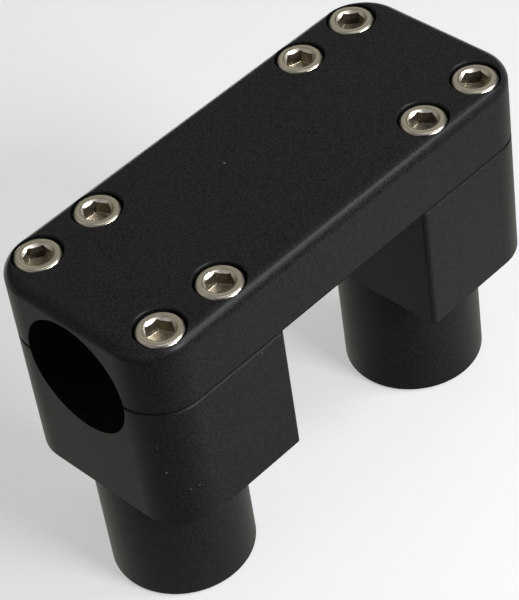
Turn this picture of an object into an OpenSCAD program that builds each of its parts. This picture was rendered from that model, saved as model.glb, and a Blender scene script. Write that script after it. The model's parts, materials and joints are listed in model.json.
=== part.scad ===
// Handlebar riser: two blocks, each turned down to a round post, under a one-piece top clamp. Eight
// socket head cap screws pull the clamp down on the handlebar.
// Millimetres. X runs along the handlebar, Y across it and Z up. The origin is on the ground, midway
// between the two posts. The long front face is at -Y.

/* [Handlebar and mounting] */
// Diameter of the handlebar where the clamp grips it (1 1/4 inch)
bar_d = 31.75; // [22:0.05:40]
// Distance between the centres of the two posts (3 1/2 inch)
riser_spacing = 88.9; // [72:0.1:130]
// Outer diameter of the mounting thread in each post (1/2 inch)
stud_d = 12.7; // [8:0.05:16]
// Length of the full-width hole in each post
stud_depth = 32; // [15:0.5:45]

/* [Top clamp] */
// Metal left in the clamp above the handlebar
crown_wall = 3.5; // [2:0.1:12]
// Split between the clamp and each riser, so that the screws pinch the bar before the faces meet
pinch_gap = 0.2; // [0.1:0.05:0.8]
// Radius of the upright corners of the clamp and the risers
corner_r = 12.2; // [6:0.1:14]
// Radius of the round that runs along the clamp's upper edge
top_round_r = 3; // [1:0.1:4]
// Bevel along the clamp's lower edge
clamp_bevel = 0.2; // [0.1:0.05:0.5]
// Metal between each outer counterbore and the clamp's end
end_wall = 4.65; // [3:0.05:12]
// Metal between each counterbore and the clamp's long side
side_wall = 1.35; // [1.2:0.05:8]

/* [Risers] */
// Metal left in each riser under the handlebar
saddle_wall = 21.5; // [18:0.1:50]
// Diameter of the round post
post_d = 37; // [24:0.1:46]
// Length of the post below the block
post_h = 38.7; // [25:0.1:80]
// Step from the post out to the block's nearest face
shoulder = 1.35; // [1:0.05:6]
// Round in the corner between the post and the block's underside
post_fillet_r = 0.8; // [0.3:0.1:0.9]
// Bevel round the post's lower edge
foot_bevel = 0.8; // [0.3:0.1:2]
// Radius of the block's upright edges beside the gap between the risers
inner_edge_r = 1.2; // [1.1:0.1:3]
// Bevel along the block's upper edges, beside the split
block_bevel = 0.5; // [0.2:0.05:1]
// Bevel along the block's lower edges
block_low_bevel = 0.3; // [0.1:0.05:0.8]

/* [Screws] */
// Thread diameter of the clamp screws (5/16 inch)
screw_d = 7.94; // [6:0.01:10]
// Length of the screws under the head
screw_len = 31.75; // [24:0.05:38]
// Distance between the two screws of a row, along the handlebar
screw_pitch = 19.05; // [17:0.05:26]
// Metal between the bar bore and the screws' clearance holes
bore_wall = 0.3; // [0.2:0.05:4]
// Radial play round each screw in the clamp
screw_play = 0.15; // [0.1:0.01:0.5]
// Radial play round each screw head in its counterbore
head_play = 0.4; // [0.2:0.05:1]
// Depth of the heads below the clamp's top face
head_recess = 0.35; // [0:0.05:2]
// Bevel round the rim of each counterbore
rim_bevel = 0.25; // [0.1:0.05:0.5]
// Depth of the tapped holes past the screw tips
tap_run_out = 3; // [1:0.5:5]

/* [Hidden] */
$fn = 96;
cut = 1; // overshoot of every cutting shape

// Socket head cap screw, in shares of the thread diameter: head 1.5 wide and 1 high, with a bevel of 1/8
// round its upper edge, and a hexagon 0.8 across flats and 1/2 deep
screw_r = screw_d / 2;
head_r = 1.5 * screw_d / 2;
head_h = screw_d;
head_bevel = screw_d / 8;
hex_flats = 0.8 * screw_d;
hex_corner_r = hex_flats / 2 / cos(30);
hex_depth = screw_d / 2;
// Bevel round the socket's mouth, just wide enough to take the corners of the hexagon too
mouth_land = 0.1;
mouth_bevel = hex_corner_r + mouth_land - hex_flats / 2;
// Bevel round the screw's tip
tip_bevel = 0.9;
// Drills are ground to a point of 118 degrees. This is the angle from the hole's axis to its cone.
drill_point_angle = 59;

// The screws stand as close to the bar as their holes allow
clear_r = screw_r + screw_play;
counterbore_r = head_r + head_play;
screw_y = bar_d / 2 + bore_wall + clear_r;
screw_cols = [for (riser = [-1, 1]) for (side = [-1, 1]) (riser * riser_spacing + side * screw_pitch) / 2];
// How far the hexagon of each screw happens to be turned, in screw order
socket_turns = [56, 27, 2, 57, 5, 41, 19, 14];
screw_count = len(socket_turns);

// The clamp covers both the screws and the posts
half_l = riser_spacing / 2 + max(screw_pitch / 2 + counterbore_r + end_wall, post_d / 2 + shoulder);
half_w = max(screw_y + counterbore_r + side_wall, post_d / 2 + shoulder);
corner_x = half_l - corner_r;
// Where the straight part of a riser's long sides begins, beside the gap between the risers
inner_x = riser_spacing / 2 - post_d / 2 - shoulder + inner_edge_r;

block_h = bar_d / 2 - pinch_gap / 2 + saddle_wall;
clamp_h = bar_d / 2 - pinch_gap / 2 + crown_wall;
block_top_z = post_h + block_h;
bar_z = block_top_z + pinch_gap / 2;
clamp_z = block_top_z + pinch_gap;
clamp_top_z = clamp_z + clamp_h;
head_seat_z = clamp_top_z - head_recess - head_h;
tap_bottom_z = head_seat_z - screw_len - tap_run_out;

anodised = "#27282b";
stainless = "#a8a49b";

// Place of screw n. Odd numbers are in the front row, and the pairs run from the left end to the right.
function screw_place(n) = [screw_cols[floor((n - 1) / 2)], (n % 2 == 1 ? -1 : 1) * screw_y];

// One side of a block's section, from its bottom edge up, with both edges bevelled
function side_outline(reach, height, low, high) =
    [[reach - low, 0], [reach, low], [reach, height - high], [reach - high, height]];

// Section from the middle out to one side. The upper bevel can be filled out to a round of the same width.
module half_section(reach, height, low, high, round_top) {
    polygon(concat([[0, 0]], side_outline(reach, height, low, high), [[0, height]]));
    if (round_top)
        translate([reach - high, height - high])
            circle(r = high);
}

// The same section over both sides
module full_section(reach, height, low, high, round_top) {
    right = side_outline(reach, height, low, high);
    left = [for (i = [len(right) - 1:-1:0]) [-right[i].x, right[i].y]];
    polygon(concat(right, left));
    if (round_top)
        for (side = [-1, 1])
            translate([side * (reach - high), height - high])
                circle(r = high);
}

// Straight stretch of a block, over its whole width, from x_from to x_to
module straight_stretch(x_from, x_to, height, low, high, round_top) {
    translate([x_from, 0, 0])
        rotate([90, 0, 90])
            linear_extrude(height = x_to - x_from)
                full_section(half_w, height, low, high, round_top);
}

// End of a block towards +X, from x_from on: a straight stretch of end face between two upright corners
// of radius r, with the same edges as the long sides
module rounded_end(x_from, r, height, low, high, round_top) {
    centre_y = half_w - r;
    translate([x_from, centre_y, 0])
        rotate([90, 0, 0])
            linear_extrude(height = 2 * centre_y)
                half_section(r, height, low, high, round_top);
    for (side = [0, 1])
        mirror([0, side, 0])
            translate([x_from, centre_y, 0])
                rotate_extrude(angle = 90)
                    half_section(r, height, low, high, round_top);
}

// Handlebar bore, as a solid to cut away
module bar_cut() {
    translate([-half_l - cut, 0, bar_z])
        rotate([0, 90, 0])
            cylinder(h = 2 * (half_l + cut), d = bar_d);
}

// Drilled hole with a pointed end, mouth at z = 0 and running down
module drilled_hole(r, depth) {
    translate([0, 0, -depth])
        cylinder(h = depth + cut, r = r);
    translate([0, 0, -depth - r / tan(drill_point_angle)])
        cylinder(h = r / tan(drill_point_angle), r1 = 0, r2 = r);
}

// Bevel of 45 degrees round the mouth of a hole of radius r, mouth at z = 0
module mouth_cut(r, bevel) {
    translate([0, 0, -bevel])
        cylinder(h = bevel + cut, r1 = r, r2 = r + bevel + cut);
}

// Counterbore with a bevelled rim, and the clearance hole under it
module screw_cut() {
    translate([0, 0, clamp_z - cut])
        cylinder(h = clamp_h + 2 * cut, r = clear_r);
    translate([0, 0, head_seat_z])
        cylinder(h = clamp_top_z - head_seat_z + cut, r = counterbore_r);
    translate([0, 0, clamp_top_z])
        mouth_cut(counterbore_r, rim_bevel);
}

// Plate over both risers, with a round all along its upper edge and the upper half of the bar bore
module top_clamp() {
    color(anodised)
        difference() {
            translate([0, 0, clamp_z]) {
                straight_stretch(-corner_x, corner_x, clamp_h, clamp_bevel, top_round_r, true);
                for (side = [0, 1])
                    mirror([side, 0, 0])
                        rounded_end(corner_x, corner_r, clamp_h, clamp_bevel, top_round_r, true);
            }
            bar_cut();
            for (n = [1:screw_count])
                translate(screw_place(n))
                    screw_cut();
        }
}

// Round post with a small round in the corner under the block
module post() {
    rotate_extrude()
        difference() {
            polygon([
                [0, 0],
                [post_d / 2 - foot_bevel, 0],
                [post_d / 2, foot_bevel],
                [post_d / 2, post_h - post_fillet_r],
                [post_d / 2 + post_fillet_r, post_h - post_fillet_r],
                [post_d / 2 + post_fillet_r, post_h + cut],
                [0, post_h + cut],
            ]);
            translate([post_d / 2 + post_fillet_r, post_h - post_fillet_r])
                circle(r = post_fillet_r);
        }
}

// Block of the riser at +X, with wide corners at its outer end and narrow ones beside the gap
module block() {
    straight_stretch(inner_x, corner_x, block_h, block_low_bevel, block_bevel, false);
    rounded_end(corner_x, corner_r, block_h, block_low_bevel, block_bevel, false);
    mirror([1, 0, 0])
        rounded_end(-inner_x, inner_edge_r, block_h, block_low_bevel, block_bevel, false);
}

// Riser at +X: block, post, lower half of the bar bore, four tapped holes and the hole up the post
module riser() {
    color(anodised)
        difference() {
            union() {
                translate([0, 0, post_h])
                    block();
                translate([riser_spacing / 2, 0, 0])
                    post();
            }
            bar_cut();
            for (n = [screw_count / 2 + 1:screw_count])
                translate(concat(screw_place(n), block_top_z))
                    drilled_hole(screw_r, block_top_z - tap_bottom_z);
            translate([riser_spacing / 2, 0, 0])
                mirror([0, 0, 1])
                    stud_cut();
        }
}

// Hole for the mounting thread, with a bevelled mouth
module stud_cut() {
    drilled_hole(stud_d / 2, stud_depth);
    mouth_cut(stud_d / 2, foot_bevel);
}

module riser_left() {
    mirror([1, 0, 0])
        riser();
}

module riser_right() {
    riser();
}

// Socket head cap screw n, seated on the floor of its counterbore
module screw(n) {
    place = screw_place(n);
    color(stainless)
        translate([place.x, place.y, head_seat_z])
            rotate(socket_turns[n - 1])
                difference() {
                    rotate_extrude()
                        polygon([
                            [0, -screw_len],
                            [screw_r - tip_bevel, -screw_len],
                            [screw_r, tip_bevel - screw_len],
                            [screw_r, 0],
                            [head_r, 0],
                            [head_r, head_h - head_bevel],
                            [head_r - head_bevel, head_h],
                            [0, head_h],
                        ]);
                    translate([0, 0, head_h - hex_depth])
                        cylinder(h = hex_depth + cut, r = hex_corner_r, $fn = 6);
                    translate([0, 0, head_h]) {
                        drilled_hole(hex_flats / 2, hex_depth);
                        mouth_cut(hex_flats / 2, mouth_bevel);
                    }
                }
}

top_clamp();
riser_left();
riser_right();
for (n = [1:screw_count])
    screw(n);
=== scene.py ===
import json
import math

import bmesh
import bpy
from mathutils import Matrix, Vector


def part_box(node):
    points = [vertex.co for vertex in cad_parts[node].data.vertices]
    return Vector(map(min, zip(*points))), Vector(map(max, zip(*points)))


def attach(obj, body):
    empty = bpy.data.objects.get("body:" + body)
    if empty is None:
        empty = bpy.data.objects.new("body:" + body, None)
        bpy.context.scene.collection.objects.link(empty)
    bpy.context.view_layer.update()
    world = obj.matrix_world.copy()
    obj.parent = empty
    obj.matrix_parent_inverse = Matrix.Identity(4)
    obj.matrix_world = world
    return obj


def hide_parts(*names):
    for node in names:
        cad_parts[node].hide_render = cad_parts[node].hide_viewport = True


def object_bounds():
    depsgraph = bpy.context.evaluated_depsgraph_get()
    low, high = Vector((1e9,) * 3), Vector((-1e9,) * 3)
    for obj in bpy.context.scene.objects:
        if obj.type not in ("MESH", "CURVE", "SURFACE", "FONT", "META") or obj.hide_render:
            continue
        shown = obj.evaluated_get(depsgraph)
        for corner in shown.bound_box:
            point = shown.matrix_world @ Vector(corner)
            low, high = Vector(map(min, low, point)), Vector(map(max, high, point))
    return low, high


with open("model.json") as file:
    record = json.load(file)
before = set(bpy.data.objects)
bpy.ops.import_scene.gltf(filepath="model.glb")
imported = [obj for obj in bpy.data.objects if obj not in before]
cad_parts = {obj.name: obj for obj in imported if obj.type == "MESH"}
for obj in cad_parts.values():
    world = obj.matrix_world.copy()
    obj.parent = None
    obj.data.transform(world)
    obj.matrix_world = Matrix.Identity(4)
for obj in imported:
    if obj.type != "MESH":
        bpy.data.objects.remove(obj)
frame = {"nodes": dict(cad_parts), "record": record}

# Handlebar riser: black anodised blocks under one clamp, with eight stainless socket head cap screws.
# Metres, in the CAD frame: X along the handlebar, Y across it, Z up, the long front face at -Y.
# The clamp and the risers are the CAD's own solids with a new material. A detailed mesh stands for each
# screw, and a threaded sleeve lines the hole in each post.

MM = 0.001
BODY = "root"
cad_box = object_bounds()

# Camera of the photograph, as turned, tilted and rolled from a level view along +Y
CAMERA_PLACE = Vector((-282.4509, -328.6710, 459.0106)) * MM
CAMERA_TURN = math.radians(39.9437)
CAMERA_DOWN = math.radians(43.2326)
CAMERA_ROLL = math.radians(9.1379)
CAMERA_SENSOR = 36
CAMERA_LENS = 143.546
CAMERA_CLIP = (0.01, 20)

# Profile of a 60 degree thread: share of the pitch, and depth from 0 at the crest to 1 at the root
THREAD_PROFILE = ((0.0, 0.0), (0.125, 0.0), (0.4375, 1.0), (0.6875, 1.0))
ROWS_A_TURN = len(THREAD_PROFILE)
# Depth of such a thread, as a share of its pitch
THREAD_DEPTH = 0.5413
# Height of a helix's start over the level ring below it, in millimetres
HELIX_GAP = 0.05

# Socket head cap screw, 5/16 inch, in millimetres from the head's underside
SCREW_R = 3.97
SCREW_LENGTH = 31.75
SHANK_GAP = 0.01
THREAD_PITCH = 25.4 / 18
NECK = 3.2
NECK_GAP = 0.1
TIP_BEVEL = 0.9
SHANK_STEPS = 48
HEAD_R = 5.955
HEAD_H = 7.94
HEAD_ROUND = 1.05
ROUND_STEPS = 8
HEAD_STEPS = 144
# Bevel under the head: how far in it starts, and where it ends
UNDER_INSET = 0.3
UNDER_BEVEL = (0.14, 0.16)
KNURL_DEPTH = 0.13
KNURL_START = 0.45
# Plain bands between the knurl, the side's top and the rounded edge
KNURL_TO_SIDE = 0.2
SIDE_TO_ROUND = 0.05
HEX_FLATS = 6.352
HEX_DEPTH = 3.97
SOCKET_MOUTH_R = 3.9
# Bevel between the head's top and the socket's mouth: width and depth
MOUTH_EDGE = (0.06, 0.03)
DRILL_INSET = 0.08
DRILL_POINT = math.radians(59)
# How far each screw's hexagon is turned, in degrees
SOCKET_TURNS = (56, 27, 2, 57, 5, 41, 19, 14)

# Mounting thread inside each post, 1/2 inch with 13 turns an inch, in millimetres from the post's foot
STUD_PITCH = 25.4 / 13
STUD_CREST_R = 5.36
STUD_ROOT_R = 6.26
STUD_BACK_R = 6.5
STUD_LOW = 0.9
STUD_HIGH = 31
STUD_STEPS = 72

# Edges that bend more than this, in degrees, stay sharp in the shading
SHARP_ANGLE = 32

# Noise scales are features a metre along X, Y and Z. Most of a noise's values lie in NOISE_RANGE.
NOISE_RANGE = (0.3, 0.7)
WHOLE_RANGE = (0.0, 1.0)

# Black finish. Each pair of colours or of roughnesses is blended by a noise.
BLACK_SPECULAR = 0.112
BLACK_LIGHT = ((0.0208, 0.0156, 0.0182, 1), (0.0146, 0.0178, 0.0152, 1))
BLACK_DARK = ((0.0046, 0.0045, 0.0046, 1), (0.0062, 0.0061, 0.0062, 1))
# Colour of the painted shade in narrow gaps and along the clamp's lower edge
PAINTED_SHADE_BLACK = (0.0015, 0.0015, 0.0015, 1)
NICK_METAL = (0.30, 0.30, 0.31, 1)
BLACK_ROUGHNESS = (0.30, 0.42)
SHADE_ROUGHNESS = 0.9
CUTTER_SCALE = (25, 25, 4200)
GRAIN_SCALE = (2700, 2700, 2700)
TINT_SCALE = (1900, 1900, 1900)
CLOUD_SCALE = (45, 45, 45)
GRAIN_RANGE = (0.40, 0.60)
CUTTER_DEPTH = 0.012 * MM
GRAIN_DEPTH = 0.015 * MM
# Painted shade in narrow gaps: how far it looks for a wall, and the openness that it goes from full to none over
CREVICE_REACH = 0.9 * MM
CREVICE_RANGE = (0.52, 0.86)
# Painted shadow line over the clamp's lower edge, standing in for the shade of the split: where it starts, is
# full, fades and ends, in millimetres above the edge
SPLIT_SHADE = 0.85
SPLIT_START = (-0.1, 0.0)
SPLIT_END = (0.35, 0.65)
# Small nicks in the black finish: place and radius, in millimetres
NICKS = ((-62.41, -23.28, 56.94, 0.22), (-58.79, -26.41, 50.36, 0.13), (-56.71, -27.34, 50.55, 0.12),
         (-60.59, -25.17, 48.31, 0.12), (-62.98, -22.48, 65.37, 0.12), (-32.44, -28.0, 74.81, 0.14),
         (-5.32, 7.16, 95.45, 0.16), (-5.2, 6.95, 95.45, 0.11))
NICK_CORE = 0.6

# Stainless steel
TURNED_STEEL = ((0.59, 0.53, 0.42, 1), (0.81, 0.765, 0.675, 1))
# Socket colour from forging, darkened deeper in as painted shade
FORGED_SHADED_STEEL = ((0.15, 0.125, 0.09, 1), (0.24, 0.21, 0.165, 1))
TURNED_ROUGHNESS = (0.22, 0.32)
SOCKET_ROUGHNESS = (0.38, 0.50)
STEEL_CLOUD = (600, 600, 600)
BAND_SCALE = 2600.0
BAND_RANGE = (0.40, 0.60)
RING_SCALE = 9000.0
RING_DEPTH = 0.004 * MM
# Where the socket's rough inside and the painted shade on its sides start, in millimetres below the head's top
SOCKET_R = (3.92, 3.97)
SOCKET_START = (-0.12, -0.04)
WALLS_START = (-0.75, -0.6)
SEAT_EDGE = 0.1

# Studio light. Directions are an elevation and an azimuth from +X, in degrees.
# Softboxes: name, elevation, azimuth, size in metres, watts and colour
SOFTBOXES = (("softbox_front", 31, -82, 0.32, 8.6, (0.97, 0.99, 1.0)),
             ("softbox_right", 44, -50, 0.27, 4.4, (0.93, 0.94, 1.0)))
SOFTBOX_AWAY = 0.9
SOFTBOX_TARGET = Vector((0, 0, 0.07))
# Soft patches of sky: elevation, azimuth, strength and colour
BACK_TINT = (1.0, 0.97, 0.86)
LEFT_TINT = (0.96, 0.97, 1.0)
SKY_LOBES = ((30, 45, 0.45, BACK_TINT), (50, 80, 0.30, BACK_TINT), (50, 120, 0.35, BACK_TINT),
             (30, 120, 0.25, BACK_TINT), (50, 0, 0.20, BACK_TINT), (70, 0, 0.75, BACK_TINT),
             (80, 240, 0.60, LEFT_TINT), (30, 180, 0.90, LEFT_TINT), (10, 160, 1.0, LEFT_TINT),
             (10, 205, 1.2, LEFT_TINT))
SKY_SHARPNESS = 22.0
BACKDROP = (0.9, 0.9, 0.9, 1)

# Floor as the camera sees it
FLOOR_RADIUS = 6.0
FLOOR_CORNERS = 96
FLOOR_SCALE = (3, 3, 3)
FLOOR_TONES = ((0.40, 0.40, 0.40, 1), (0.42, 0.42, 0.42, 1))
FLOOR_OWN_LIGHT = 0.45

# Glow of the floor as the parts see it. Ranges are distances from the object's middle, in metres.
GLOW_TINT = (1.0, 1.0, 0.9, 1)
GLOW_UNDER = 0.532
GLOW_FRONT, GLOW_REAR = 0.742, 0.588
GLOW_FRONT_TO_REAR = (-0.05, 0.03)
GLOW_ROUND = 0.504
GLOW_RANGES = ((0.05, 0.09), (0.12, 0.18), (0.21, 0.28))
# The glow is dimmed towards the camera and between the posts
GLOW_DIMMED = 0.2
DIM_SIDE = 212
DIM_SHARPNESS = 5.0
DIM_STEPS = ((1.0, (0.05, 0.10)), (0.62, (0.10, 0.12)), (1.0, (0.13, 0.15)))
BETWEEN_POSTS = (0.018, -0.02, 0)
BETWEEN_SHADE = 0.6
BETWEEN_RANGE = (0.01, 0.03)
# A brighter glow further out behind the object, for the back's sake
BACK_SIDE = 62
BACK_SHARPNESS = 2.5
BACK_GLOW = 3.4
BACK_RANGE = (0.18, 0.32)


def add_node(tree, kind, settings=None, **inputs):
    """Adds a shader node. An input is named with _ for a space, or by _ and its number, and a socket is linked."""
    made = tree.nodes.new(kind)
    for name, value in (settings or {}).items():
        setattr(made, name, value)
    for name, value in inputs.items():
        socket = made.inputs[int(name[1:])] if name[1:].isdigit() else made.inputs[name.replace("_", " ")]
        if isinstance(value, bpy.types.NodeSocket):
            tree.links.new(value, socket)
        else:
            socket.default_value = value
    return made


def numbered(values):
    """Inputs for add_node, by their number."""
    return {f"_{i}": value for i, value in enumerate(values)}


def maths(tree, operation, *values):
    """Result of a Math node."""
    return add_node(tree, "ShaderNodeMath", {"operation": operation}, **numbered(values)).outputs[0]


def vector_maths(tree, operation, *values):
    """Result of a Vector Math node, a number or a vector."""
    made = add_node(tree, "ShaderNodeVectorMath", {"operation": operation}, **numbered(values))
    return made.outputs["Value" if operation in ("LENGTH", "DISTANCE", "DOT_PRODUCT") else "Vector"]


def object_place(tree):
    """Place on the object, in metres."""
    return add_node(tree, "ShaderNodeTexCoord").outputs["Object"]


def height_of(tree, place):
    """Height of a place on the object."""
    return add_node(tree, "ShaderNodeSeparateXYZ", Vector=place).outputs["Z"]


def noise(tree, scale, detail=2.0, rough=0.5):
    """Noise from 0 to 1, with scale features a metre along each axis."""
    place = add_node(tree, "ShaderNodeMapping", Vector=object_place(tree), Scale=scale).outputs[0]
    return add_node(tree, "ShaderNodeTexNoise", Vector=place, Scale=1.0, Detail=detail, Roughness=rough).outputs[0]


def spread(tree, value, low, high, source=NOISE_RANGE):
    """value, mapped from the source range to low..high."""
    return add_node(tree, "ShaderNodeMapRange", Value=value, From_Min=source[0], From_Max=source[1],
                    To_Min=low, To_Max=high).outputs[0]


def in_steps(tree, value, number, steps):
    """Number that changes as value grows. Each step is a new number and the range of value that it takes."""
    for new_number, source in steps:
        number = spread(tree, value, number, new_number, source)
    return number


def in_metres(millimetres, base=0.0):
    """Range in metres, from one in millimetres above a base in millimetres."""
    return tuple((base + value) * MM for value in millimetres)


def bump(tree, height, distance, below=None):
    """Normal roughened by height, distance metres deep, over another bump below it."""
    made = add_node(tree, "ShaderNodeBump", Height=height, Strength=1.0, Distance=distance)
    if below is not None:
        tree.links.new(below, made.inputs["Normal"])
    return made.outputs[0]


def blend_colours(tree, share, low, high):
    """Colour from low to high, by a share from 0 to 1. Each is a colour or a socket."""
    return add_node(tree, "ShaderNodeMix", {"data_type": "RGBA"}, Factor=share, _6=low, _7=high).outputs[2]


def new_material(name, **surface):
    """A material with one Principled shader, and its tree."""
    material = bpy.data.materials.new(name)
    material.use_nodes = True
    tree = material.node_tree
    tree.nodes.clear()
    shader = add_node(tree, "ShaderNodeBsdfPrincipled", **surface)
    output = add_node(tree, "ShaderNodeOutputMaterial")
    tree.links.new(shader.outputs[0], output.inputs["Surface"])
    return material, tree, shader


def nick_share(tree):
    """1 in the nicks, where the bare metal shows, and 0 elsewhere."""
    place = object_place(tree)
    share = 0.0
    for x, y, z, radius in NICKS:
        away = vector_maths(tree, "DISTANCE", place, Vector((x, y, z)) * MM)
        inside = spread(tree, away, 1.0, 0.0, in_metres((NICK_CORE * radius, radius)))
        share = maths(tree, "MAXIMUM", inside, share)
    return share


def painted_split_shadow(tree):
    """Share of the painted shadow line along the clamp's lower edge, the shade of the split."""
    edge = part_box("top_clamp")[0].z / MM
    steps = ((SPLIT_SHADE, in_metres(SPLIT_START, edge)), (0.0, in_metres(SPLIT_END, edge)))
    return in_steps(tree, height_of(tree, object_place(tree)), 0.0, steps)


def painted_crevice_shade(tree):
    """Share of painted shade: 1 in narrow gaps between the black parts, and 0 in the open."""
    openness = add_node(tree, "ShaderNodeAmbientOcclusion", {"samples": 6}, Distance=CREVICE_REACH).outputs["AO"]
    return spread(tree, openness, 1.0, 0.0, CREVICE_RANGE)


def black_anodised():
    """Satin black on machined metal: fine grain all over, level cutter marks on the upright faces, a few nicks,
    and painted shade in gaps and at the split.
    """
    material, tree, shader = new_material("black_anodised_satin", Metallic=0.0, IOR=1.5,
                                          Specular_IOR_Level=BLACK_SPECULAR)
    cutter = noise(tree, CUTTER_SCALE, detail=3.0)
    grain = noise(tree, GRAIN_SCALE, detail=2.0, rough=0.7)
    tint = noise(tree, TINT_SCALE)
    cloud = noise(tree, CLOUD_SCALE, detail=3.0)
    light = blend_colours(tree, spread(tree, tint, 0.0, 1.0, GRAIN_RANGE), *BLACK_LIGHT)
    dark = blend_colours(tree, spread(tree, cloud, 0.0, 1.0), *BLACK_DARK)
    speckled = blend_colours(tree, spread(tree, grain, 0.0, 1.0, GRAIN_RANGE), dark, light)
    bare = blend_colours(tree, nick_share(tree), speckled, NICK_METAL)
    # Painted shade: darker, rougher colour in narrow gaps and along the clamp's lower edge
    shade = maths(tree, "MAXIMUM", painted_crevice_shade(tree), painted_split_shadow(tree))
    tree.links.new(blend_colours(tree, shade, bare, PAINTED_SHADE_BLACK), shader.inputs["Base Color"])
    satin = spread(tree, grain, *BLACK_ROUGHNESS)
    tree.links.new(spread(tree, shade, satin, SHADE_ROUGHNESS, WHOLE_RANGE), shader.inputs["Roughness"])
    lines = bump(tree, cutter, CUTTER_DEPTH)
    tree.links.new(bump(tree, grain, GRAIN_DEPTH, lines), shader.inputs["Normal"])
    return material


def socket_shares(tree, radius, height):
    """Shares of the socket's rough inside and of its sides darkened with painted shade."""
    inside = maths(tree, "MULTIPLY", spread(tree, radius, 1.0, 0.0, in_metres(SOCKET_R)),
                   spread(tree, height, 1.0, 0.0, in_metres(SOCKET_START, HEAD_H)))
    above_seat = spread(tree, height, 0.0, 1.0, in_metres((0, SEAT_EDGE), HEAD_H - HEX_DEPTH))
    inside = maths(tree, "MULTIPLY", inside, above_seat)
    deep = spread(tree, height, 1.0, 0.0, in_metres(WALLS_START, HEAD_H))
    return inside, maths(tree, "MULTIPLY", inside, deep)


def stainless():
    """Bright stainless steel with turned rings round the screw's axis, and a rougher socket from forging whose
    sides are darker with painted shade.
    """
    material, tree, shader = new_material("stainless_turned", Metallic=1.0)
    place = object_place(tree)
    radius = vector_maths(tree, "LENGTH", vector_maths(tree, "MULTIPLY", place, (1, 1, 0)))
    height = height_of(tree, place)
    polar = add_node(tree, "ShaderNodeCombineXYZ", X=radius, Z=height).outputs[0]
    rings = add_node(tree, "ShaderNodeTexNoise", Vector=polar, Scale=RING_SCALE, Detail=2.0).outputs[0]
    radial = add_node(tree, "ShaderNodeCombineXYZ", X=radius).outputs[0]
    bands = add_node(tree, "ShaderNodeTexNoise", Vector=radial, Scale=BAND_SCALE, Detail=1.0).outputs[0]
    cloud = noise(tree, STEEL_CLOUD, detail=3.0)
    inside, shaded_walls = socket_shares(tree, radius, height)
    turned = blend_colours(tree, spread(tree, bands, 0.0, 1.0, BAND_RANGE), *TURNED_STEEL)
    forged_shaded = blend_colours(tree, spread(tree, cloud, 0.0, 1.0), *FORGED_SHADED_STEEL)
    # Painted shade: the socket's sides deeper in take the darker colour
    tree.links.new(blend_colours(tree, shaded_walls, turned, forged_shaded), shader.inputs["Base Color"])
    smooth = spread(tree, cloud, *TURNED_ROUGHNESS)
    rough = spread(tree, cloud, *SOCKET_ROUGHNESS)
    tree.links.new(spread(tree, inside, smooth, rough, WHOLE_RANGE), shader.inputs["Roughness"])
    tree.links.new(bump(tree, rings, RING_DEPTH), shader.inputs["Normal"])
    return material


def circle_points(radius, z, steps):
    """Points round the Z axis. radius is a number, or a function of the angle."""
    points = []
    for i in range(steps):
        angle = 2 * math.pi * i / steps
        r = radius(angle) if callable(radius) else radius
        points.append(Vector((r * math.cos(angle), r * math.sin(angle), z)))
    return points


def eased(corners, ease, steps=ROUND_STEPS):
    """Outline through three (radius, height) corners, with an arc of radius ease at the middle one."""
    before, corner, after = (Vector(point) for point in corners)
    to_before, to_after = (before - corner).normalized(), (after - corner).normalized()
    opening = to_before.angle(to_after)
    reach = ease / math.tan(opening / 2)
    centre = corner + (to_before + to_after).normalized() * ease / math.sin(opening / 2)
    start, end = corner + to_before * reach - centre, corner + to_after * reach - centre
    outline = [corners[0]]
    for i in range(steps + 1):
        share = i / steps
        outline.append(tuple(centre + (start * (1 - share) + end * share).normalized() * ease))
    return outline + [corners[-1]]


def add_ring(mesh, points):
    """Vertices at points given in millimetres."""
    return [mesh.verts.new(p * MM) for p in points]


def add_circle(mesh, radius, z, steps):
    """Vertices round the Z axis, by a radius and a height in millimetres."""
    return add_ring(mesh, circle_points(radius, z, steps))


def add_face(mesh, corners, flip=False):
    """Face through the corners, or through them the other way round."""
    mesh.faces.new(corners[::-1] if flip else corners)


def join_rings(mesh, lower, upper):
    """Faces between two rings of as many points, seen from outside."""
    for i in range(len(lower)):
        j = (i + 1) % len(lower)
        add_face(mesh, (lower[i], lower[j], upper[j], upper[i]))


def close_ring(mesh, ring, z):
    """Cone from a ring to a point on the axis."""
    tip = mesh.verts.new((0, 0, z * MM))
    for i in range(len(ring)):
        add_face(mesh, (ring[i], ring[(i + 1) % len(ring)], tip))


def hexagon(angle):
    """Radius of the socket's hexagon at an angle, with a corner at 0."""
    turn = angle % (math.pi / 3) - math.pi / 6
    return HEX_FLATS / 2 / math.cos(turn)


def helix_rows(mesh, steps, pitch, z_low, z_high, radius_at):
    """Rows of vertices that climb one pitch a turn. radius_at gives the radius from the height and the depth in
    the thread's profile."""
    turns = int((z_high - z_low) / pitch) - 1
    rows = []
    for count in range(turns * ROWS_A_TURN + 1):
        whole, part = divmod(count, ROWS_A_TURN)
        phase, depth = THREAD_PROFILE[part]
        row = []
        for i in range(steps):
            angle = 2 * math.pi * i / steps
            z = z_low + pitch * (whole + phase + i / steps)
            r = radius_at(z, depth)
            row.append(Vector((r * math.cos(angle), r * math.sin(angle), z)))
        rows.append(add_ring(mesh, row))
    return rows


def join_helix(mesh, rows, flip=False):
    """Faces between the rows, where the end of each turn meets the start of the next."""
    for low, high in zip(rows, rows[1:]):
        for i in range(len(low) - 1):
            add_face(mesh, (low[i], low[i + 1], high[i + 1], high[i]), flip)
    for n in range(len(rows) - 1 - ROWS_A_TURN):
        next_turn = n + ROWS_A_TURN
        add_face(mesh, (rows[n][-1], rows[next_turn][0], rows[next_turn + 1][0], rows[n + 1][-1]), flip)


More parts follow.
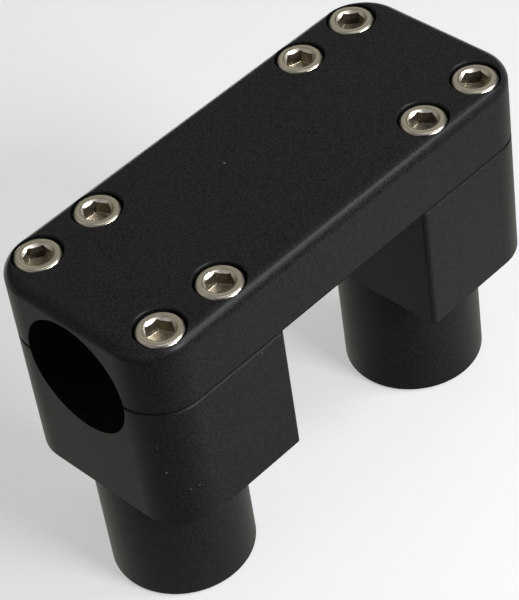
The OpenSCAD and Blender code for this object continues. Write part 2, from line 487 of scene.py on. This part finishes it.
def cap_helix(mesh, rows, lower, upper, flip=False):
    """Faces from the helix's two ends to a level ring below and above it."""
    for i in range(len(lower) - 1):
        add_face(mesh, (lower[i], lower[i + 1], rows[0][i + 1], rows[0][i]), flip)
        add_face(mesh, (rows[-1][i], rows[-1][i + 1], upper[i + 1], upper[i]), flip)
    seam = [row[0] for row in rows[:ROWS_A_TURN + 1]]
    add_face(mesh, (lower[-1], lower[0], *seam, rows[0][-1]), flip)
    seam = [row[-1] for row in rows[-1 - ROWS_A_TURN:]]
    add_face(mesh, (rows[-1][0], upper[0], upper[-1], *seam[::-1]), flip)


def fading(z, end, pitch):
    """1 in the full thread, falling to 0 over the last pitch before its end."""
    return min(1.0, max(0.0, (end - z) / pitch))


def threaded_shank(mesh):
    """Thread, plain neck and bevelled tip. Gives the ring under the head."""
    def radius_at(z, depth):
        cut = THREAD_DEPTH * THREAD_PITCH * depth * fading(z, -NECK - THREAD_PITCH, THREAD_PITCH)
        cone = SCREW_R - TIP_BEVEL + (z + SCREW_LENGTH)
        return min(SCREW_R - SHANK_GAP - cut, cone)

    rows = helix_rows(mesh, SHANK_STEPS, THREAD_PITCH, -SCREW_LENGTH + HELIX_GAP, -NECK, radius_at)
    join_helix(mesh, rows)
    tip = add_circle(mesh, SCREW_R - TIP_BEVEL - SHANK_GAP, -SCREW_LENGTH, SHANK_STEPS)
    neck = add_circle(mesh, SCREW_R - SHANK_GAP, -NECK + NECK_GAP, SHANK_STEPS)
    cap_helix(mesh, rows, tip, neck)
    add_face(mesh, tip, flip=True)
    seat = add_circle(mesh, SCREW_R - SHANK_GAP, 0, SHANK_STEPS)
    join_rings(mesh, neck, seat)
    return seat


def knurl(angle):
    """Radius of the head's side, with a groove at every other step."""
    return HEAD_R - KNURL_DEPTH * (round(angle * HEAD_STEPS / (2 * math.pi)) % 2)


def head_outside(mesh, seat):
    """Underside, knurled side and rounded edge of the head, from the ring under it to the socket's mouth."""
    under = add_circle(mesh, HEAD_R - UNDER_INSET, 0, HEAD_STEPS)
    share = HEAD_STEPS // SHANK_STEPS
    for i in range(SHANK_STEPS):
        j = (i + 1) % SHANK_STEPS
        outer = [under[(i * share + k) % HEAD_STEPS] for k in range(share + 1)]
        add_face(mesh, (seat[i], seat[j], *outer[::-1]))
    bevel_in, bevel_high = UNDER_BEVEL
    side_top = HEAD_H - HEAD_ROUND - SIDE_TO_ROUND
    mouth_flat, mouth_drop = MOUTH_EDGE
    profile = [(HEAD_R - bevel_in, bevel_high), (knurl, KNURL_START), (knurl, side_top - KNURL_TO_SIDE)]
    profile += eased([(HEAD_R, side_top), (HEAD_R, HEAD_H), (SOCKET_MOUTH_R + mouth_flat, HEAD_H)], HEAD_ROUND)
    profile.append((SOCKET_MOUTH_R, HEAD_H - mouth_drop))
    ring = under
    for radius, z in profile:
        upper = add_circle(mesh, radius, z, HEAD_STEPS)
        join_rings(mesh, ring, upper)
        ring = upper
    return ring


def head_socket(mesh, mouth):
    """Hexagonal socket with a bevelled mouth and a drilled bottom, down from the ring at its mouth."""
    corners = circle_points(hexagon, 0, HEAD_STEPS)
    for i, corner in enumerate(corners):
        corner.z = HEAD_H - MOUTH_EDGE[1] - (SOCKET_MOUTH_R - hexagon(2 * math.pi * i / HEAD_STEPS))
    floor = HEAD_H - HEX_DEPTH
    wall_top = add_ring(mesh, corners)
    wall_low = add_circle(mesh, hexagon, floor, HEAD_STEPS)
    drilled = add_circle(mesh, HEX_FLATS / 2 - DRILL_INSET, floor, HEAD_STEPS)
    join_rings(mesh, mouth, wall_top)
    join_rings(mesh, wall_top, wall_low)
    join_rings(mesh, wall_low, drilled)
    close_ring(mesh, drilled, floor - HEX_FLATS / 2 / math.tan(DRILL_POINT))


def finished_mesh(name, mesh, material):
    """Turns a bmesh into mesh data with smooth faces and sharp edges."""
    for face in mesh.faces:
        face.smooth = True
    for edge in mesh.edges:
        edge.smooth = edge.calc_face_angle(0) < math.radians(SHARP_ANGLE)
    data = bpy.data.meshes.new(name)
    mesh.to_mesh(data)
    mesh.free()
    data.materials.append(material)
    return data


def screw_mesh(material, turn):
    """Whole screw, turned round its axis by an angle."""
    mesh = bmesh.new()
    head_socket(mesh, head_outside(mesh, threaded_shank(mesh)))
    bmesh.ops.rotate(mesh, verts=mesh.verts, matrix=Matrix.Rotation(turn, 3, "Z"))
    return finished_mesh("cap_screw", mesh, material)


def stud_mesh(material):
    """Sleeve with an inner thread, that lines the hole in a post. Its back is inside the post's metal."""
    mesh = bmesh.new()
    top = STUD_HIGH - STUD_PITCH

    def radius_at(z, depth):
        crest = (STUD_ROOT_R - STUD_CREST_R) * (1 - depth) * fading(z, top, STUD_PITCH)
        lead = max(0.0, STUD_ROOT_R - (z - STUD_LOW))
        return max(STUD_ROOT_R - crest, lead)

    rows = helix_rows(mesh, STUD_STEPS, STUD_PITCH, STUD_LOW + HELIX_GAP, top, radius_at)
    join_helix(mesh, rows, flip=True)
    low = add_circle(mesh, STUD_ROOT_R, STUD_LOW, STUD_STEPS)
    high = add_circle(mesh, STUD_ROOT_R, STUD_HIGH, STUD_STEPS)
    cap_helix(mesh, rows, low, high, flip=True)
    back_low = add_circle(mesh, STUD_BACK_R, STUD_LOW, STUD_STEPS)
    back_high = add_circle(mesh, STUD_BACK_R, STUD_HIGH, STUD_STEPS)
    join_rings(mesh, back_low, back_high)
    join_rings(mesh, low, back_low)
    join_rings(mesh, back_high, high)
    return finished_mesh("stud_thread", mesh, material)


def add_piece(name, data, place, slot, *replaced):
    """Puts mesh data in the scene as a piece that rides on the body and stands for the replaced nodes."""
    piece = bpy.data.objects.new(name, data)
    bpy.context.scene.collection.objects.link(piece)
    piece.location = place
    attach(piece, BODY)
    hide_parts(*replaced)


def add_screws(material):
    """One detailed screw in the place of each CAD screw."""
    for n, turn in enumerate(SOCKET_TURNS, start=1):
        low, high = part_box(f"screw_{n}")
        seat = Vector(((low.x + high.x) / 2, (low.y + high.y) / 2, high.z - HEAD_H * MM))
        data = screw_mesh(material, math.radians(turn))
        add_piece(f"cap_screw_{n}", data, seat, "stainless", f"screw_{n}")


def add_stud_threads(material):
    """A threaded sleeve in the mounting hole of each post."""
    mounts = {mount["name"]: mount["pos_m"] for mount in frame["record"]["mounts"]}
    for side in ("left", "right"):
        x, y, _ = mounts[f"post_thread_{side}"]
        place = Vector((x, y, cad_box[0].z))
        add_piece(f"stud_thread_{side}", stud_mesh(material), place, "black_anodised")


def dress_nodes(material):
    """Gives the CAD's black solids their material."""
    for name in ("top_clamp", "riser_left", "riser_right"):
        for holder in frame["nodes"][name].material_slots:
            holder.link = "OBJECT"
            holder.material = material


def aim(elevation, azimuth):
    """Unit vector from an elevation and an azimuth from +X, in degrees."""
    up, round_z = math.radians(elevation), math.radians(azimuth)
    return Vector((math.cos(up) * math.cos(round_z), math.cos(up) * math.sin(round_z), math.sin(up)))


def lobe(tree, elevation, azimuth, place, sharpness):
    """1 towards a direction, given in degrees, and falling off to 0 round it."""
    towards = vector_maths(tree, "DOT_PRODUCT", place, aim(elevation, azimuth))
    return maths(tree, "EXPONENT", maths(tree, "MULTIPLY_ADD", towards, sharpness, -sharpness))


def glow_dimming(tree, place, away, direction):
    """1 where the floor's glow is clear, and less towards the camera and between the posts."""
    side = maths(tree, "MULTIPLY", lobe(tree, 0, DIM_SIDE, direction, DIM_SHARPNESS),
                 in_steps(tree, away, 0.0, DIM_STEPS))
    from_gap = vector_maths(tree, "DISTANCE", place, BETWEEN_POSTS)
    shade = maths(tree, "MAXIMUM", side, spread(tree, from_gap, BETWEEN_SHADE, 0.0, BETWEEN_RANGE))
    return spread(tree, shade, 1.0, GLOW_DIMMED, WHOLE_RANGE)


def floor_glow(tree):
    """What the parts see of the floor: a pale sheet that ends soon, and a brighter one further out at the back."""
    place = object_place(tree)
    away = vector_maths(tree, "LENGTH", place)
    direction = vector_maths(tree, "NORMALIZE", place)
    across = add_node(tree, "ShaderNodeSeparateXYZ", Vector=place).outputs["Y"]
    beside = spread(tree, across, GLOW_FRONT, GLOW_REAR, GLOW_FRONT_TO_REAR)
    level = in_steps(tree, away, GLOW_UNDER, zip((beside, GLOW_ROUND, 0.0), GLOW_RANGES))
    near = maths(tree, "MULTIPLY", level, glow_dimming(tree, place, away, direction))
    behind = maths(tree, "MULTIPLY", lobe(tree, 0, BACK_SIDE, direction, BACK_SHARPNESS),
                   spread(tree, away, 0.0, BACK_GLOW, BACK_RANGE))
    strength = maths(tree, "ADD", near, behind)
    return add_node(tree, "ShaderNodeEmission", Color=GLOW_TINT, Strength=strength).outputs[0]


def seen_by_camera(tree):
    """1 for what the camera sees directly, and 0 for what lights the parts or is mirrored in them."""
    return add_node(tree, "ShaderNodeLightPath").outputs["Is Camera Ray"]


def add_floor():
    """Wide round floor. The camera sees plain matt off-white, and the parts see its glow."""
    material, tree, shader = new_material("floor_pale", Specular_IOR_Level=0.2, Roughness=0.8,
                                          Emission_Color=(1, 1, 1, 1), Emission_Strength=FLOOR_OWN_LIGHT)
    tree.links.new(blend_colours(tree, noise(tree, FLOOR_SCALE), *FLOOR_TONES), shader.inputs["Base Color"])
    both = add_node(tree, "ShaderNodeMixShader", _0=seen_by_camera(tree), _1=floor_glow(tree),
                    _2=shader.outputs[0])
    output = next(node for node in tree.nodes if node.type == "OUTPUT_MATERIAL")
    tree.links.new(both.outputs[0], output.inputs["Surface"])
    mesh = bmesh.new()
    bmesh.ops.create_circle(mesh, cap_ends=True, radius=FLOOR_RADIUS, segments=FLOOR_CORNERS)
    floor = bpy.data.objects.new("floor", finished_mesh("floor", mesh, material))
    floor.location = (0, 0, cad_box[0].z)
    bpy.context.scene.collection.objects.link(floor)


def add_softbox(name, elevation, azimuth, size, watts, tint):
    """Square area light that faces the object from a direction, given in degrees."""
    light = bpy.data.lights.new(name, "AREA")
    light.shape = "RECTANGLE"
    light.size = light.size_y = size
    light.energy = watts
    light.color = tint
    lamp = bpy.data.objects.new(name, light)
    away = aim(elevation, azimuth)
    lamp.location = away * SOFTBOX_AWAY + SOFTBOX_TARGET
    lamp.rotation_mode = "QUATERNION"
    lamp.rotation_quaternion = away.to_track_quat("Z", "Y")
    lamp.visible_camera = False
    bpy.context.scene.collection.objects.link(lamp)


def sky(tree):
    """What the parts see of the sky: the sum of its soft patches."""
    place = add_node(tree, "ShaderNodeTexCoord").outputs["Generated"]
    total = add_node(tree, "ShaderNodeBackground", Color=(0, 0, 0, 1)).outputs[0]
    for elevation, azimuth, strength, tint in SKY_LOBES:
        level = maths(tree, "MULTIPLY", lobe(tree, elevation, azimuth, place, SKY_SHARPNESS), strength)
        part = add_node(tree, "ShaderNodeBackground", Color=(*tint, 1), Strength=level)
        total = add_node(tree, "ShaderNodeAddShader", _0=total, _1=part.outputs[0]).outputs[0]
    return total


def light_scene():
    """Soft sky and softboxes. The camera sees a plain pale backdrop in the place of the sky."""
    world = bpy.data.worlds.new("studio")
    bpy.context.scene.world = world
    world.use_nodes = True
    tree = world.node_tree
    tree.nodes.clear()
    pale = add_node(tree, "ShaderNodeBackground", Color=BACKDROP, Strength=1.0).outputs[0]
    mixed = add_node(tree, "ShaderNodeMixShader", _0=seen_by_camera(tree), _1=sky(tree), _2=pale)
    output = add_node(tree, "ShaderNodeOutputWorld")
    tree.links.new(mixed.outputs[0], output.inputs["Surface"])
    for softbox in SOFTBOXES:
        add_softbox(*softbox)


def place_camera():
    """The photograph's camera, with its local X, Y and Z to the right, up and back."""
    forward = Vector((math.cos(CAMERA_DOWN) * math.sin(CAMERA_TURN),
                      math.cos(CAMERA_DOWN) * math.cos(CAMERA_TURN), -math.sin(CAMERA_DOWN)))
    level = Vector((math.cos(CAMERA_TURN), -math.sin(CAMERA_TURN), 0))
    right = math.cos(CAMERA_ROLL) * level + math.sin(CAMERA_ROLL) * forward.cross(level)
    down = forward.cross(right)
    data = bpy.data.cameras.new("camera")
    data.sensor_width = CAMERA_SENSOR
    data.lens = CAMERA_LENS
    data.clip_start, data.clip_end = CAMERA_CLIP
    camera = bpy.data.objects.new("camera", data)
    axes = Matrix((right, -down, -forward)).transposed().to_4x4()
    camera.matrix_world = Matrix.Translation(CAMERA_PLACE) @ axes
    bpy.context.scene.collection.objects.link(camera)
    bpy.context.scene.camera = camera


place_camera()
light_scene()
add_floor()
black = black_anodised()
dress_nodes(black)
add_stud_threads(black)
add_screws(stainless())
bpy.context.scene.view_settings.view_transform = "Standard"

bpy.context.view_layer.update()
